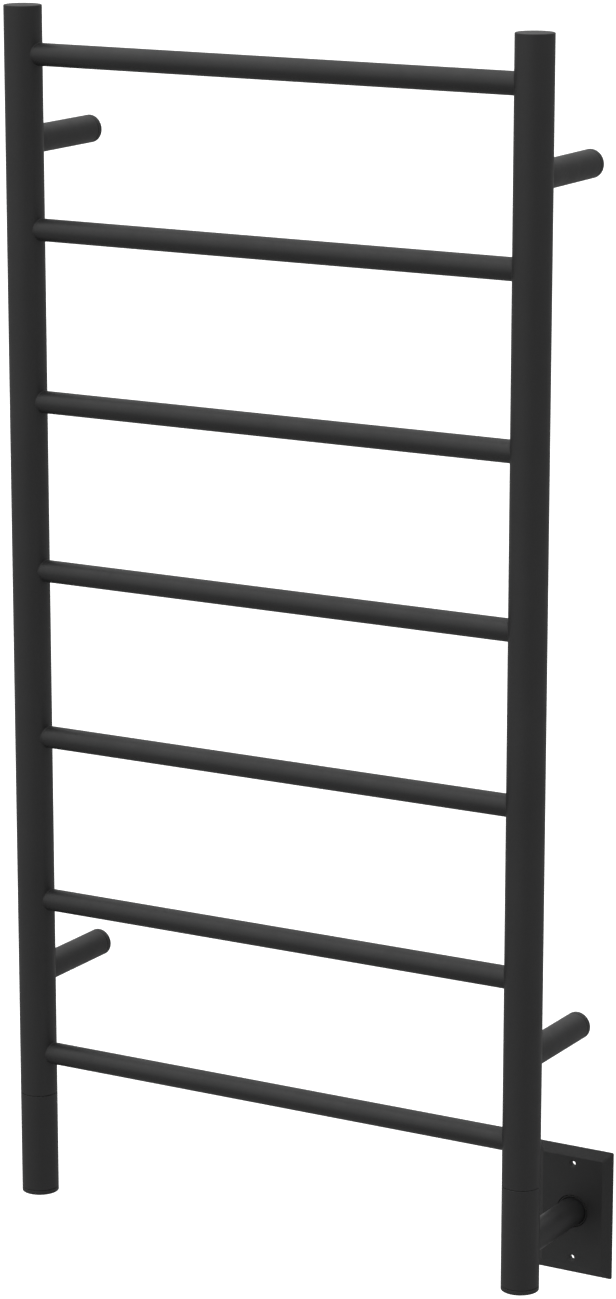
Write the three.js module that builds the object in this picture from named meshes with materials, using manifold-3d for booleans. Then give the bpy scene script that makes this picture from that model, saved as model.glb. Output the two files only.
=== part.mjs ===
// Wall-mounted, hard-wired towel warmer: a ladder of seven round rails between two round posts,
// held off the wall by four standoffs. A wiring arm leaves the foot of the right post and goes
// through a bevelled cover plate to the junction box in the wall.
// Millimetres. +X is right as seen from the room, +Y goes into the wall, +Z is up.
// The exported origin is on the wall, in the middle of the four wall anchors.

import * as THREE from "three";
import { ConvexGeometry } from "three/addons/geometries/ConvexGeometry.js";
import { mergeVertices } from "three/addons/utils/BufferGeometryUtils.js";
import Module from "manifold-3d";

const wasm = await Module();
wasm.setup();

// ---- Driving dimensions. Heights are above the foot of the posts. ----

const GAP = 0.3; // left between solids that touch
const MERGE_DISTANCE = 1e-4;

const POST_RADIUS = 31.75 / 2;
const POST_WALL = 1.5;
const POST_SPACING = 470; // between the post axes
const POST_HEIGHT = 1026.6;
const POST_TO_WALL = 100; // post axis to wall
const POST_SEGMENTS = 32;

const SLEEVE_TOP = 90.4; // joint between a post and its lower sleeve
const TOP_CAP_THICKNESS = 2;
const BOTTOM_CAP_THICKNESS = 3.9;
const CAP_CHAMFER = 0.5;
const CAP_SPIGOT_LENGTH = 11;
const SPIGOT_WALL = 2;
const COUPLER_LENGTH = 40;

const RAIL_COUNT = 7;
const RAIL_RADIUS = 19 / 2;
const RAIL_WALL = 1.2;
const RAIL_SEGMENTS = 16;
const TOP_RAIL_DROP = 39.9; // top of the posts to the first rail's axis
const RAIL_PITCH = 144.2;
const LAST_RAIL_PITCH = 138.3; // the last rail sits a little closer
const RAIL_END_FROM_AXIS = 10.4; // each rail end goes through the post's wall

const STANDOFF_RADIUS = 23.5 / 2;
const STANDOFF_WALL = 2.5;
const STANDOFF_SEGMENTS = 20;
const UPPER_STANDOFF_HEIGHT = 915;
const LOWER_STANDOFF_HEIGHT = 199;

const ANCHOR_FLANGE = 5;
const ANCHOR_SPIGOT = 20;
const WALL_SCREW_HOLE_RADIUS = 2.75;
const WALL_SCREW_HEAD_RADIUS = 5.5;
const GROOVE_DEPTH = 1.95;
const GROOVE_WIDTH = 6.4;
const GROOVE_FLANK = 0.5;

const SET_SCREW_RADIUS = 2.5;
const SET_SCREW_TIP_RADIUS = 1.5;
const SET_SCREW_SUNK = 0.15;
const SET_SCREW_TO_WALL = 14;
const SET_SCREW_SEGMENTS = 12;
const HEX_SOCKET_RADIUS = 1.44; // corners of a 2.5 mm key
const HEX_SOCKET_DEPTH = 2.2;

const ARM_HEIGHT = 37;
const ARM_WALL = 2;
const ARM_END_TO_WALL = 1.2;
const WIRE_HOLE_RADIUS = 9;
const ARM_BUSHING_WALL = 1.8;
const ARM_BUSHING_LENGTH = 7;
const ARM_BUSHING_FLANGE = 0.6;

const PLATE_WIDTH = 71;
const PLATE_HEIGHT = 112;
const PLATE_THICKNESS = 5.5;
const PLATE_EDGE = 1;
const PLATE_BEVEL = 8;
const PLATE_CORNER_RADIUS = 1.5;
const PLATE_CORNER_STEPS = 3;
const PLATE_HOLE_SPACING = 83.3; // 3-9/32 in, a single-gang box
const PLATE_HOLE_RADIUS = 2.3;
const PLATE_SINK_RADIUS = 3.8;
const PLATE_SINK_DEPTH = 0.9;

const PLATE_BUSH_WALL = 1.5;
const PLATE_BUSH_FLANGE_RADIUS = 16;
const PLATE_BUSH_FLANGE = 1.4;
const PLATE_BUSH_INSET = 0.2; // its front face below the plate's

const CABLE_RADIUS = 2.2;
const CABLE_SIDES = 6;
const CABLE_BEND_RADIUS = 9;
const CABLE_BEND_STEPS = 3;
const CABLE_TAIL = 14;
const END_SEAL_RADIUS = 3.4;
const END_SEAL_LENGTH = 16;
const CONNECTOR_RADIUS = 8;
const CONNECTOR_BASE = 50;
const CONNECTOR_LENGTH = 20;
const CUTOFF_RADIUS = 4;
const CUTOFF_LENGTH = 22;
const SMALL_SEGMENTS = 12;

const EARTH_STUD_RADIUS = 2;
const EARTH_STUD_LENGTH = 10;
const EARTH_STUD_HEIGHT = 22;
const EARTH_NUT_RADIUS = 4.04; // corners of a 7 mm nut
const EARTH_NUT_THICKNESS = 3.2;
const EARTH_NUT_FROM_WALL = 2.5;

// ---- Sizes that follow from them ----

const POST_BORE = POST_RADIUS - POST_WALL;
const SPIGOT_RADIUS = POST_BORE - GAP;
const STANDOFF_BORE = STANDOFF_RADIUS - STANDOFF_WALL;
const ARM_BORE = STANDOFF_RADIUS - ARM_WALL;
const ORIGIN_HEIGHT = (UPPER_STANDOFF_HEIGHT + LOWER_STANDOFF_HEIGHT) / 2;
const PLATE_BUSH_BORE = STANDOFF_RADIUS + GAP;
const PLATE_BUSH_RADIUS = PLATE_BUSH_BORE + PLATE_BUSH_WALL;
const PLATE_BUSH_FLANGE_FRONT = -(GAP + PLATE_BUSH_FLANGE);
const PLATE_BORE = PLATE_BUSH_RADIUS + GAP;
const CABLE_START = CONNECTOR_BASE + CONNECTOR_LENGTH + CUTOFF_LENGTH + 2 * GAP;

const POSTS = [
  { side: "left", x: -POST_SPACING / 2 },
  { side: "right", x: POST_SPACING / 2 },
];
const STANDOFFS = POSTS.flatMap(({ side, x }) => [
  { name: `upper_${side}`, x, z: UPPER_STANDOFF_HEIGHT },
  { name: `lower_${side}`, x, z: LOWER_STANDOFF_HEIGHT },
]);
const ARM_X = POST_SPACING / 2;

// Rails are counted from the top.
function railHeight(number) {
  const aboveLast = Math.min(number, RAIL_COUNT - 1) - 1;
  const height = POST_HEIGHT - TOP_RAIL_DROP - aboveLast * RAIL_PITCH;
  return number === RAIL_COUNT ? height - LAST_RAIL_PITCH : height;
}
const RAIL_HEIGHTS = Array.from({ length: RAIL_COUNT }, (_, i) => railHeight(i + 1));

// ---- Materials ----

function finish(color, roughness, metalness) {
  return new THREE.MeshStandardMaterial({ color, roughness, metalness });
}
const MATERIALS = {
  coatedTube: finish(0x343434, 0.55, 0.1),
  coatedPlate: finish(0x303030, 0.6, 0.1),
  blackScrew: finish(0x202020, 0.4, 0.8),
  steel: finish(0x9a9a98, 0.35, 0.9),
  polymer: finish(0x1c1c1c, 0.6, 0),
  silicone: finish(0x6e2f22, 0.7, 0),
  brass: finish(0xb08d45, 0.35, 0.9),
  ceramic: finish(0xd8d4c8, 0.7, 0),
};

// ---- Solids ----

function toSolid(geometry) {
  const bare = geometry.clone();
  bare.deleteAttribute("normal");
  bare.deleteAttribute("uv");
  const merged = mergeVertices(bare, MERGE_DISTANCE);
  const vertProperties = merged.getAttribute("position").array;
  const triVerts = new Uint32Array(merged.index.array);
  return new wasm.Manifold(new wasm.Mesh({ numProp: 3, vertProperties, triVerts }));
}

function toGeometry(solid) {
  const { vertProperties, triVerts } = solid.getMesh();
  const geometry = new THREE.BufferGeometry();
  geometry.setAttribute("position", new THREE.BufferAttribute(vertProperties, 3));
  geometry.setIndex(new THREE.BufferAttribute(triVerts, 1));
  geometry.computeVertexNormals();
  return geometry;
}

function subtract(geometry, ...cutters) {
  return toGeometry(cutters.reduce((left, cutter) => left.subtract(toSolid(cutter)), toSolid(geometry)));
}

// A solid turned about +Z. Profile points are [radius, height], counter-clockwise.
function turned(profile, segments) {
  const points = profile.map(([radius, height]) => new THREE.Vector2(radius, height));
  return new THREE.LatheGeometry(points, segments).rotateX(Math.PI / 2);
}

function rod(radius, low, high, segments) {
  return turned([[0, low], [radius, low], [radius, high], [0, high]], segments);
}

function tube(radius, bore, low, high, segments) {
  const profile = [[bore, low], [radius, low], [radius, high], [bore, high], [bore, low]];
  return turned(profile, segments);
}

const alongX = (geometry) => geometry.rotateY(Math.PI / 2);
const alongY = (geometry) => geometry.rotateX(-Math.PI / 2);

// ---- Posts, lower sleeves, couplers and caps, each about its post's axis ----

function railCutter(height) {
  const cutter = alongX(rod(RAIL_RADIUS + GAP, 0, POST_RADIUS * 2, RAIL_SEGMENTS));
  return cutter.translate(0, 0, height);
}

// inward is +1 where the rails leave towards +X.
function post(inward) {
  const top = POST_HEIGHT - TOP_CAP_THICKNESS - GAP / 2;
  const wall = tube(POST_RADIUS, POST_BORE, SLEEVE_TOP + GAP / 2, top, POST_SEGMENTS);
  const holes = RAIL_HEIGHTS.map((height) => railCutter(height));
  if (inward < 0) holes.forEach((hole) => hole.rotateZ(Math.PI));
  return subtract(wall, ...holes);
}

function lowerSleeve() {
  const low = BOTTOM_CAP_THICKNESS + GAP / 2;
  return tube(POST_RADIUS, POST_BORE, low, SLEEVE_TOP - GAP / 2, POST_SEGMENTS);
}

function wiredLowerSleeve() {
  const wireHole = alongY(rod(WIRE_HOLE_RADIUS, 0, POST_RADIUS * 2, STANDOFF_SEGMENTS));
  return subtract(lowerSleeve(), wireHole.translate(0, 0, ARM_HEIGHT));
}

function coupler() {
  const low = SLEEVE_TOP - COUPLER_LENGTH / 2;
  const bore = SPIGOT_RADIUS - SPIGOT_WALL;
  return tube(SPIGOT_RADIUS, bore, low, low + COUPLER_LENGTH, POST_SEGMENTS);
}

// The outer face is at height 0 and looks along +Z.
function endCap(thickness) {
  const seat = -(thickness - GAP / 2);
  const spigotEnd = seat - CAP_SPIGOT_LENGTH;
  const spigotBore = SPIGOT_RADIUS - SPIGOT_WALL;
  const profile = [
    [0, seat],
    [spigotBore, seat],
    [spigotBore, spigotEnd],
    [SPIGOT_RADIUS, spigotEnd],
    [SPIGOT_RADIUS, seat],
    [POST_RADIUS, seat],
    [POST_RADIUS, -CAP_CHAMFER],
    [POST_RADIUS - CAP_CHAMFER, 0],
    [0, 0],
  ];
  return turned(profile, POST_SEGMENTS);
}

// ---- Rails ----

function rail() {
  const half = POST_SPACING / 2 - RAIL_END_FROM_AXIS;
  return alongX(tube(RAIL_RADIUS, RAIL_RADIUS - RAIL_WALL, -half, half, RAIL_SEGMENTS));
}

// ---- Standoffs and wall anchors, about their own axis, with the wall at y = 0 ----

// A tube from the post to near the wall, its post end cut to the post's curve.
function copedTube(bore, endToWall) {
  const wholeTube = tube(STANDOFF_RADIUS, bore, -POST_TO_WALL, -endToWall, STANDOFF_SEGMENTS);
  const reach = STANDOFF_RADIUS * 2;
  const postCurve = rod(POST_RADIUS + GAP, -reach, reach, POST_SEGMENTS);
  return subtract(alongY(wholeTube), postCurve.translate(0, -POST_TO_WALL, 0));
}

function standoff() {
  const radius = SET_SCREW_RADIUS + GAP;
  const screwHole = rod(radius, -STANDOFF_RADIUS * 2, 0, SET_SCREW_SEGMENTS);
  screwHole.translate(0, -SET_SCREW_TO_WALL, 0);
  return subtract(copedTube(STANDOFF_BORE, ANCHOR_FLANGE + GAP), screwHole);
}

function wallAnchor() {
  const spigot = STANDOFF_BORE - GAP;
  const end = -(ANCHOR_FLANGE + ANCHOR_SPIGOT);
  const groove = -SET_SCREW_TO_WALL;
  const half = GROOVE_WIDTH / 2;
  const sinkDepth = WALL_SCREW_HEAD_RADIUS - WALL_SCREW_HOLE_RADIUS;
  const profile = [
    [WALL_SCREW_HEAD_RADIUS, end],
    [spigot, end],
    [spigot, groove - half],
    [spigot - GROOVE_DEPTH, groove - half + GROOVE_FLANK],
    [spigot - GROOVE_DEPTH, groove + half - GROOVE_FLANK],
    [spigot, groove + half],
    [spigot, -ANCHOR_FLANGE],
    [STANDOFF_RADIUS, -ANCHOR_FLANGE],
    [STANDOFF_RADIUS, 0],
    [WALL_SCREW_HOLE_RADIUS, 0],
    [WALL_SCREW_HOLE_RADIUS, end + sinkDepth],
    [WALL_SCREW_HEAD_RADIUS, end],
  ];
  return alongY(turned(profile, STANDOFF_SEGMENTS));
}

// Stands under the standoff, its tip in the anchor's groove and its hex socket facing down.
function setScrew() {
  const tip = -(STANDOFF_BORE - GAP - GROOVE_DEPTH + GAP);
  const low = -(STANDOFF_RADIUS - SET_SCREW_SUNK);
  const cone = SET_SCREW_RADIUS - SET_SCREW_TIP_RADIUS;
  const profile = [
    [0, low],
    [SET_SCREW_RADIUS, low],
    [SET_SCREW_RADIUS, tip - cone],
    [SET_SCREW_TIP_RADIUS, tip],
    [0, tip],
  ];
  const socket = rod(HEX_SOCKET_RADIUS, low - 1, low + HEX_SOCKET_DEPTH, 6);
  return subtract(turned(profile, SET_SCREW_SEGMENTS), socket);
}

// ---- Wiring arm and cover plate, about the arm's axis, with the wall at y = 0 ----

function wiringArm() {
  return copedTube(ARM_BORE, ARM_END_TO_WALL);
}

// Keeps the wires off the arm's cut end.
function armBushing() {
  const outer = ARM_BORE - GAP;
  const bore = outer - ARM_BUSHING_WALL;
  const seat = -(ARM_END_TO_WALL - GAP);
  const face = seat + ARM_BUSHING_FLANGE;
  const inner = seat - ARM_BUSHING_LENGTH;
  const flange = STANDOFF_RADIUS - GAP;
  const profile = [
    [bore, inner],
    [outer, inner],
    [outer, seat],
    [flange, seat],
    [flange, face],
    [bore, face],
    [bore, inner],
  ];
  return alongY(turned(profile, STANDOFF_SEGMENTS));
}

// Corner points of the plate's outline, inset from its edge, at one depth.
function plateOutline(inset, y) {
  const points = [];
  for (const [signX, signZ, turn] of [[1, 1, 0], [-1, 1, 1], [-1, -1, 2], [1, -1, 3]]) {
    for (let step = 0; step <= PLATE_CORNER_STEPS; step++) {
      const angle = ((turn + step / PLATE_CORNER_STEPS) * Math.PI) / 2;
      const x = signX * (PLATE_WIDTH / 2 - inset - PLATE_CORNER_RADIUS);
      const z = signZ * (PLATE_HEIGHT / 2 - inset - PLATE_CORNER_RADIUS);
      const round = PLATE_CORNER_RADIUS;
      points.push(new THREE.Vector3(x + round * Math.cos(angle), y, z + round * Math.sin(angle)));
    }
  }
  return points;
}

function coverPlate() {
  const blank = new ConvexGeometry([
    ...plateOutline(0, 0),
    ...plateOutline(0, -PLATE_EDGE),
    ...plateOutline(PLATE_BEVEL, -PLATE_THICKNESS),
  ]);
  const front = -PLATE_THICKNESS;
  const beyond = PLATE_THICKNESS; // cutters run this far past both faces
  const seat = PLATE_BUSH_FLANGE_RADIUS + GAP;
  const armHole = turned(
    [
      [0, front - beyond],
      [PLATE_BORE, front - beyond],
      [PLATE_BORE, PLATE_BUSH_FLANGE_FRONT - GAP],
      [seat, PLATE_BUSH_FLANGE_FRONT - GAP],
      [seat, beyond],
      [0, beyond],
    ],
    POST_SEGMENTS,
  );
  const screwHoles = [-1, 1].map((sign) => {
    const slope = PLATE_SINK_RADIUS - PLATE_HOLE_RADIUS;
    const profile = [
      [0, front - PLATE_SINK_DEPTH],
      [PLATE_SINK_RADIUS + slope, front - PLATE_SINK_DEPTH],
      [PLATE_HOLE_RADIUS, front + PLATE_SINK_DEPTH],
      [PLATE_HOLE_RADIUS, beyond],
      [0, beyond],
    ];
    const cutter = alongY(turned(profile, SMALL_SEGMENTS));
    return cutter.translate(0, 0, (sign * PLATE_HOLE_SPACING) / 2);
  });
  return subtract(blank, alongY(armHole), ...screwHoles);
}

// A ring between the arm and the plate, pushed in from the back: it slides on the arm and the
// plate turns on it.
function plateBush() {
  const front = PLATE_BUSH_INSET - PLATE_THICKNESS;
  const profile = [
    [PLATE_BUSH_BORE, front],
    [PLATE_BUSH_RADIUS, front],
    [PLATE_BUSH_RADIUS, PLATE_BUSH_FLANGE_FRONT],
    [PLATE_BUSH_FLANGE_RADIUS, PLATE_BUSH_FLANGE_FRONT],
    [PLATE_BUSH_FLANGE_RADIUS, -GAP],
    [PLATE_BUSH_BORE, -GAP],
    [PLATE_BUSH_BORE, front],
  ];
  return alongY(turned(profile, POST_SEGMENTS));
}

// ---- Electrical parts inside ----

// One heating cable climbs from the right sleeve and crosses the rack through every rail in turn.
function cableCorners() {
  const corners = [new THREE.Vector3(POST_SPACING / 2, 0, CABLE_START)];
  let x = POST_SPACING / 2;
  for (const height of [...RAIL_HEIGHTS].reverse()) {
    corners.push(new THREE.Vector3(x, 0, height));
    x = -x;
    corners.push(new THREE.Vector3(x, 0, height));
  }
  corners.push(new THREE.Vector3(x, 0, RAIL_HEIGHTS[0] + CABLE_TAIL));
  return corners;
}

// Straight runs joined by round bends, as the points where the cable's section is drawn.
function cablePoints() {
  const corners = cableCorners();
  const points = [corners[0]];
  for (let i = 1; i < corners.length - 1; i++) {
    const arriving = corners[i].clone().sub(corners[i - 1]).setLength(CABLE_BEND_RADIUS);
    const leaving = corners[i + 1].clone().sub(corners[i]).setLength(CABLE_BEND_RADIUS);
    const centre = corners[i].clone().sub(arriving).add(leaving);
    for (let step = 0; step <= CABLE_BEND_STEPS; step++) {
      const angle = ((step / CABLE_BEND_STEPS) * Math.PI) / 2;
      const point = centre.clone().addScaledVector(leaving, -Math.cos(angle));
      points.push(point.addScaledVector(arriving, Math.sin(angle)));
    }
  }
  points.push(corners[corners.length - 1]);
  return points;
}

// A path whose equal steps are its own points, so that a straight run takes a single step.
class PointPath extends THREE.Curve {
  constructor(points) {
    super();
    this.points = points;
  }
  getPointAt(share, target = new THREE.Vector3()) {
    return target.copy(this.points[Math.round(share * (this.points.length - 1))]);
  }
  getTangentAt(share, target = new THREE.Vector3()) {
    const at = Math.round(share * (this.points.length - 1));
    const before = this.points[Math.max(at - 1, 0)];
    const after = this.points[Math.min(at + 1, this.points.length - 1)];
    const here = this.points[at];
    const arriving = here.clone().sub(before).normalize();
    return target.copy(after).sub(here).normalize().add(arriving).normalize();
  }
}

function heatingCable() {
  const section = new THREE.Shape();
  for (let i = 0; i < CABLE_SIDES; i++) {
    const angle = (i / CABLE_SIDES) * Math.PI * 2;
    const [u, v] = [CABLE_RADIUS * Math.cos(angle), CABLE_RADIUS * Math.sin(angle)];
    if (i === 0) section.moveTo(u, v);
    else section.lineTo(u, v);
  }
  const points = cablePoints();
  const extrudePath = new PointPath(points);
  const options = { steps: points.length - 1, bevelEnabled: false, extrudePath };
  return new THREE.ExtrudeGeometry(section, options);
}

function cableEndSeal() {
  const low = RAIL_HEIGHTS[0] + CABLE_TAIL + GAP;
  return rod(END_SEAL_RADIUS, low, low + END_SEAL_LENGTH, SMALL_SEGMENTS);
}

function cableConnector() {
  const top = CONNECTOR_BASE + CONNECTOR_LENGTH;
  return rod(CONNECTOR_RADIUS, CONNECTOR_BASE, top, SMALL_SEGMENTS);
}

function thermalCutoff() {
  const low = CONNECTOR_BASE + CONNECTOR_LENGTH + GAP;
  return rod(CUTOFF_RADIUS, low, low + CUTOFF_LENGTH, SMALL_SEGMENTS);
}

// The stud leaves the sleeve's inner wall along +X, from the side that faces the rails.
function earthStud() {
  const root = -Math.sqrt((POST_BORE - GAP) ** 2 - EARTH_STUD_RADIUS ** 2);
  return alongX(rod(EARTH_STUD_RADIUS, root + GAP, root + EARTH_STUD_LENGTH, SMALL_SEGMENTS));
}

function earthNut() {
  const low = -POST_BORE + EARTH_NUT_FROM_WALL;
  const high = low + EARTH_NUT_THICKNESS;
  return alongX(tube(EARTH_NUT_RADIUS, EARTH_STUD_RADIUS + GAP, low, high, 6));
}

// ---- Assembly ----

const rack = new THREE.Group();
rack.position.set(0, 0, -ORIGIN_HEIGHT);

function place(name, geometry, material, [x, y, z]) {
  const mesh = new THREE.Mesh(geometry, material);
  mesh.name = name;
  mesh.position.set(x, y, z);
  rack.add(mesh);
  return mesh;
}

for (const { side, x } of POSTS) {
  const { coatedTube, steel } = MATERIALS;
  const foot = [x, -POST_TO_WALL, 0];
  const sleeve = side === "right" ? wiredLowerSleeve() : lowerSleeve();
  place(`${side}_post`, post(side === "left" ? 1 : -1), coatedTube, foot);
  place(`${side}_lower_sleeve`, sleeve, coatedTube, foot);
  place(`${side}_sleeve_coupler`, coupler(), steel, foot);
  place(`${side}_top_cap`, endCap(TOP_CAP_THICKNESS), coatedTube, [x, -POST_TO_WALL, POST_HEIGHT]);
  const bottomCap = place(`${side}_bottom_cap`, endCap(BOTTOM_CAP_THICKNESS), coatedTube, foot);
  bottomCap.rotation.x = Math.PI;
}

RAIL_HEIGHTS.forEach((height, index) => {
  place(`rail_${index + 1}`, rail(), MATERIALS.coatedTube, [0, -POST_TO_WALL, height]);
});

for (const { name, x, z } of STANDOFFS) {
  place(`standoff_${name}`, standoff(), MATERIALS.coatedTube, [x, 0, z]);
  place(`wall_anchor_${name}`, wallAnchor(), MATERIALS.coatedTube, [x, 0, z]);
  place(`set_screw_${name}`, setScrew(), MATERIALS.blackScrew, [x, -SET_SCREW_TO_WALL, z]);
}

const armPlace = [ARM_X, 0, ARM_HEIGHT];
place("wiring_arm", wiringArm(), MATERIALS.coatedTube, armPlace);
place("arm_bushing", armBushing(), MATERIALS.polymer, armPlace);
place("plate_bush", plateBush(), MATERIALS.polymer, armPlace);
place("cover_plate", coverPlate(), MATERIALS.coatedPlate, armPlace);

const inRightPost = [POST_SPACING / 2, -POST_TO_WALL, 0];
place("heating_cable", heatingCable(), MATERIALS.silicone, [0, -POST_TO_WALL, 0]);
place("cable_end_seal", cableEndSeal(), MATERIALS.polymer, [-POST_SPACING / 2, -POST_TO_WALL, 0]);
place("thermal_cutoff", thermalCutoff(), MATERIALS.ceramic, inRightPost);
place("cable_connector", cableConnector(), MATERIALS.ceramic, inRightPost);
const earthPlace = [POST_SPACING / 2, -POST_TO_WALL, EARTH_STUD_HEIGHT];
place("earth_stud", earthStud(), MATERIALS.brass, earthPlace);
place("earth_nut", earthNut(), MATERIALS.brass, earthPlace);

export default rack;
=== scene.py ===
"""Looks of the wall-mounted towel warmer: fine coated tubes with welded joints, the bevelled cover plate
and the parts inside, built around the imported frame. Metres. +X right, +Y into the wall, +Z up."""

import math

import bmesh
import bpy
from mathutils import Matrix, Vector


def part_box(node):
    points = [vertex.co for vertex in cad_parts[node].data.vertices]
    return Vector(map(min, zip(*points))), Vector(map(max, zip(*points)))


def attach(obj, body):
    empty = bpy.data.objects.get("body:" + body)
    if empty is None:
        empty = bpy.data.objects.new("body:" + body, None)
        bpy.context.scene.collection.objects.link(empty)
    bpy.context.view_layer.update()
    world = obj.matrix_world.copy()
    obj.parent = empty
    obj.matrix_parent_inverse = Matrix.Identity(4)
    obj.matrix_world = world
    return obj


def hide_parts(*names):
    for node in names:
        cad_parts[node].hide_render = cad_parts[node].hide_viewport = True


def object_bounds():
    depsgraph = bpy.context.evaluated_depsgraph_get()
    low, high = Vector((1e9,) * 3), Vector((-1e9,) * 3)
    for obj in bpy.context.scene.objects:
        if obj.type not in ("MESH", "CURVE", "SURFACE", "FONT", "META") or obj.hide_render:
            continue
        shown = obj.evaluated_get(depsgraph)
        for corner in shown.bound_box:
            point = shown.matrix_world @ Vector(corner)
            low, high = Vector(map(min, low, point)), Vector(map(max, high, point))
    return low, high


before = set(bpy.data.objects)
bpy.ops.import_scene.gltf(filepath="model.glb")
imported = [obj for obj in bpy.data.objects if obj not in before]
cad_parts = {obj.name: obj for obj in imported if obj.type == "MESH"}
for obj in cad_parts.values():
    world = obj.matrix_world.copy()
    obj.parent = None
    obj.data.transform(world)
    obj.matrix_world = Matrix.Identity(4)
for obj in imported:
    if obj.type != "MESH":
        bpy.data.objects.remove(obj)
CAD_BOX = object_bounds()
RAILS = sorted(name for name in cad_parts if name.startswith("rail_"))

MM = 0.001

TO_RIGHT = Vector((1, 0, 0))
TO_LEFT = Vector((-1, 0, 0))
TO_WALL = Vector((0, 1, 0))
FROM_WALL = Vector((0, -1, 0))
UP = Vector((0, 0, 1))
DOWN = Vector((0, 0, -1))

# ---- Camera ----

CAMERA_TARGET = Vector((0.0342, -0.1, -0.0743))
CAMERA_AZIMUTH = 29.9
CAMERA_ELEVATION = 13.96
CAMERA_DISTANCE = 3.63
CAMERA_LENS = 123.02
CAMERA_SHIFT_Y = 0.0308

# ---- Floor and light ----

WHITE = (1, 1, 1, 1)
BLACK = (0, 0, 0, 1)

FLOOR_DROP = 0.35
FLOOR_SIDE = 60.0
FLOOR_COLOUR = (0.93, 0.93, 0.93, 1)
FLOOR_SHINE = 0.1
FLOOR_GLOW = 0.5
FLOOR_NOISE = 3
FLOOR_ROUGHNESS = (0.78, 0.86)

BACKDROP_RADIUS = 28.0
BACKDROP_SEGMENTS = 48
BACKDROP_RINGS = 24
BACKDROP_GLOW = 1.1
BACKDROP_NOISE = 2
BACKDROP_ROUGHNESS = (0.8, 0.9)

SURROUND = [(-0.35, 0.345), (0.05, 0.345), (0.5, 0.3), (0.9, 1.06)]  # sine of the elevation, level
PANEL_EDGE = 0.5  # cosine of the angle from a panel's middle
PANEL_CORE = 0.95
PANELS = [  # direction, level
    ((-0.58, -0.58, 0.57), 0.48),
    ((0, -0.8, 0.6), 0.365),
    ((-0.4, 0.7, 0.6), 0.27),
    ((0.95, 0, 0.2), 0.135),
]

# ---- Finishes. Noise scales are per metre. ----

NOISE_RANGE = (0.35, 0.65)  # where most of a noise's values lie
GREY_BLUE = 1.02  # the blacks are very slightly blue

CLOUD_SCALE = 9
CLOUD_TONE = (-0.12, 0.12)
GRAIN_SCALE = 2600
GRAIN_TONE = (0.28, 0.72)
GRAIN_ROUGHNESS = 0.03
GRAIN_DEPTH = 0.03 * MM
PEEL_SCALE = 520
PEEL_SOFTNESS = 0.4
PEEL_DEPTH = 0.06 * MM
COAT_BUMP = 0.5
MARKS_SCALE = 38
MARKS_HARDNESS = 0.7
MARKS_ROUGHNESS = (-0.05, 0.06)
COAT_TONES = [(0.1, 0.7), (0.5, 1), (0.9, 1.5)]  # place in the noise, share of the coat's level

PATCH_STOPS = (0.3, 0.7)
MIDDLE_STOP = 0.5  # where a stop is made before it gets its place
METAL = {
    "marks": (900, 2),  # scale, detail
    "patches": (120, 5),
    "dark": 0.72,  # share of the colour in the dark patches
    "roughness": (-0.08, 0.1),  # added to the base
    "depth": 0.02 * MM,
    "strength": 0.3,
    "metallic": 1.0,
}
MOULDED = {
    "marks": (1400, 3),
    "patches": (60, 4),
    "dark": 0.78,
    "roughness": (-0.06, 0.08),
    "depth": 0.03 * MM,
    "strength": 0.4,
    "metallic": 0.0,
}

# ---- Shapes that the frame's boxes don't give ----

ROUND_SEGMENTS = 96
FINE_SEGMENTS = 48
FILLET_STEPS = 4
SHARP_ANGLE = 35
POLE_RADIUS = 1e-9

HAIRLINE = 0.02 * MM  # between pieces that are ground flush and coated over
PUSH_FIT = 0.3 * MM  # clearance of a part inside or over another
HIDDEN_EDGE = 0.3 * MM  # rounding of most edges that are out of sight

POST_WALL = 1.5 * MM
TUBE_EDGE = 0.25 * MM
SEAM_EDGE = 0.45 * MM  # at joints that show as a fine dark line
TOP_EDGE = 0.7 * MM
FOOT_EDGE = 0.5 * MM
FOOT_JOINT = 0.15 * MM  # the foot cap's half of the gap at its joint
TOP_CAP_THICKNESS = 2 * MM
BOTTOM_CAP_THICKNESS = 3.9 * MM
CAP_SPIGOT = 11 * MM
SPIGOT_WALL = 2 * MM
SPIGOT_EDGE = 0.5 * MM
COUPLER_EDGE = 0.6 * MM

RAIL_WALL = 1.2 * MM
RAIL_CLEARANCE = 0.05 * MM
RAIL_WELD = 0.45 * MM
STANDOFF_WELD = 0.55 * MM
WELD_STEPS = 6
WELD_SUNK = 0.6 * MM

STANDOFF_WALL = 2.5 * MM
ARM_WALL = 2 * MM
WIRE_HOLE_RADIUS = 9 * MM

ANCHOR_FLANGE = 5 * MM
ANCHOR_EDGE = 0.4 * MM
ANCHOR_END_EDGE = 0.6 * MM
WALL_SCREW_HOLE = 2.75 * MM
WALL_SCREW_HEAD = 5.5 * MM
GROOVE_DEPTH = 1.95 * MM
GROOVE_WIDTH = 6.4 * MM
GROOVE_FLANK = 0.5 * MM
GROOVE_EDGE = 0.2 * MM

SET_SCREW_RADIUS = 2.5 * MM
SET_SCREW_TIP = 1.5 * MM
SET_SCREW_HOLE = 2.8 * MM
SET_SCREW_HOLE_EDGE = 0.3 * MM
HEX_KEY = 2.5 * MM
HEX_DEPTH = 2.2 * MM
THREAD_PITCH = 0.8 * MM
THREAD_DEPTH = 0.35 * MM

BUSHING_WALL = 1.8 * MM
BUSHING_FLANGE = 0.6 * MM
BUSHING_MOUTH = 0.5 * MM  # the rounding that the wires run in over
BUSHING_FACE_EDGE = 0.2 * MM
BUSHING_BACK_EDGE = 0.1 * MM
BUSHING_RIB = 0.2 * MM  # the snap rib's height
BUSHING_RIB_EDGE = 0.15 * MM
BUSHING_TAPER = 0.5 * MM
BUSHING_TAPER_LENGTH = 2.2 * MM
BUSHING_END_EDGE = 0.4 * MM

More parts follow.
